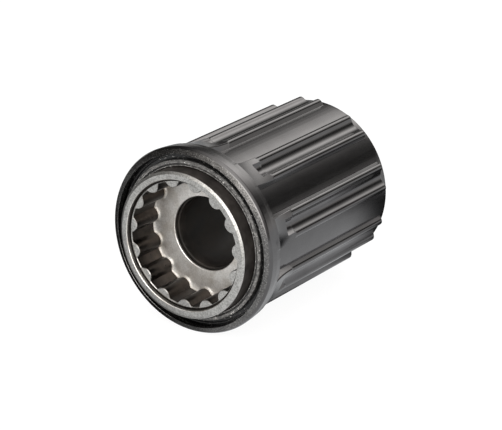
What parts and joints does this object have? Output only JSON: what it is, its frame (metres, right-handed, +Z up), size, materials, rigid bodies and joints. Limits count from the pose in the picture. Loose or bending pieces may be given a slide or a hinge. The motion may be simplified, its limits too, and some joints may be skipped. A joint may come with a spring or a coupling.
{
  "type": "cassette freehub body",
  "caption": "Splined one-way driver for bicycle rear sprockets, turning on loose balls round a fixed toothed core, locked by sprung pawls in one direction.",
  "frame": {"origin": "middle of the freehub body on the axle line", "axes": "+Y along the axle, from the hub-shell end towards the outboard, lockring end; +Z up"},
  "size_m": [0.0368, 0.0462, 0.0368],
  "materials": {
    "black_steel": "black oxide, satin to glossy",
    "bright_steel": "turned and left bare",
    "ground_steel": "hardened and ground",
    "spring_steel": "drawn wire",
    "ball_steel": "polished",
    "seal_rubber": "matt, lightly greased"
  },
  "bodies": {
    "core": {"core": "bright_steel", "bearing_cup": "ground_steel", "shim_thick": "bright_steel", "shim_thin": "bright_steel", "pawl_spring": "spring_steel"},
    "driver": {"driver_body": "black_steel", "inboard_seal": "seal_rubber", "outboard_seal": "seal_rubber"},
    "pawl_a": {"pawl_a": "ground_steel"},
    "pawl_b": {"pawl_b": "ground_steel"},
    "inboard_balls": {"inboard_ball_01": "ball_steel", "inboard_ball_02": "ball_steel", "inboard_ball_03": "ball_steel", "inboard_ball_04": "ball_steel", "inboard_ball_05": "ball_steel", "inboard_ball_06": "ball_steel", "inboard_ball_07": "ball_steel", "inboard_ball_08": "ball_steel", "inboard_ball_09": "ball_steel", "inboard_ball_10": "ball_steel", "inboard_ball_11": "ball_steel", "inboard_ball_12": "ball_steel", "inboard_ball_13": "ball_steel", "inboard_ball_14": "ball_steel", "inboard_ball_15": "ball_steel", "inboard_ball_16": "ball_steel", "inboard_ball_17": "ball_steel", "inboard_ball_18": "ball_steel", "inboard_ball_19": "ball_steel", "inboard_ball_20": "ball_steel", "inboard_ball_21": "ball_steel", "inboard_ball_22": "ball_steel", "inboard_ball_23": "ball_steel", "inboard_ball_24": "ball_steel", "inboard_ball_25": "ball_steel"},
    "outboard_balls": {"outboard_ball_01": "ball_steel", "outboard_ball_02": "ball_steel", "outboard_ball_03": "ball_steel", "outboard_ball_04": "ball_steel", "outboard_ball_05": "ball_steel", "outboard_ball_06": "ball_steel", "outboard_ball_07": "ball_steel", "outboard_ball_08": "ball_steel", "outboard_ball_09": "ball_steel", "outboard_ball_10": "ball_steel", "outboard_ball_11": "ball_steel", "outboard_ball_12": "ball_steel", "outboard_ball_13": "ball_steel", "outboard_ball_14": "ball_steel", "outboard_ball_15": "ball_steel", "outboard_ball_16": "ball_steel", "outboard_ball_17": "ball_steel", "outboard_ball_18": "ball_steel", "outboard_ball_19": "ball_steel", "outboard_ball_20": "ball_steel", "outboard_ball_21": "ball_steel", "outboard_ball_22": "ball_steel", "outboard_ball_23": "ball_steel", "outboard_ball_24": "ball_steel", "outboard_ball_25": "ball_steel"}
  },
  "joints": [
    {"name": "driver_spin", "type": "hinge", "parent": "core", "child": "driver", "pos_m": [0, 0, 0], "axis": [0, 1, 0], "continuous": true},
    {"name": "inboard_ball_orbit", "type": "hinge", "parent": "core", "child": "inboard_balls", "pos_m": [0, -0.01265, 0], "axis": [0, 1, 0], "continuous": true},
    {"name": "outboard_ball_orbit", "type": "hinge", "parent": "core", "child": "outboard_balls", "pos_m": [0, 0.01345, 0], "axis": [0, 1, 0], "continuous": true},
    {"name": "pawl_a_swing", "type": "hinge", "parent": "core", "child": "pawl_a", "pos_m": [0.00954, -0.00505, 0.00548], "axis": [0, -1, 0], "range_deg": [0, 12.6]},
    {"name": "pawl_b_swing", "type": "hinge", "parent": "core", "child": "pawl_b", "pos_m": [-0.00954, -0.00505, -0.00548], "axis": [0, -1, 0], "range_deg": [0, 12.6]}
  ],
  "couplings": [
    {"joint": "inboard_ball_orbit", "follows": "driver_spin", "ratio": 0.543},
    {"joint": "outboard_ball_orbit", "follows": "driver_spin", "ratio": 0.543},
    {"joint": "pawl_b_swing", "follows": "pawl_a_swing", "ratio": 1}
  ]
}
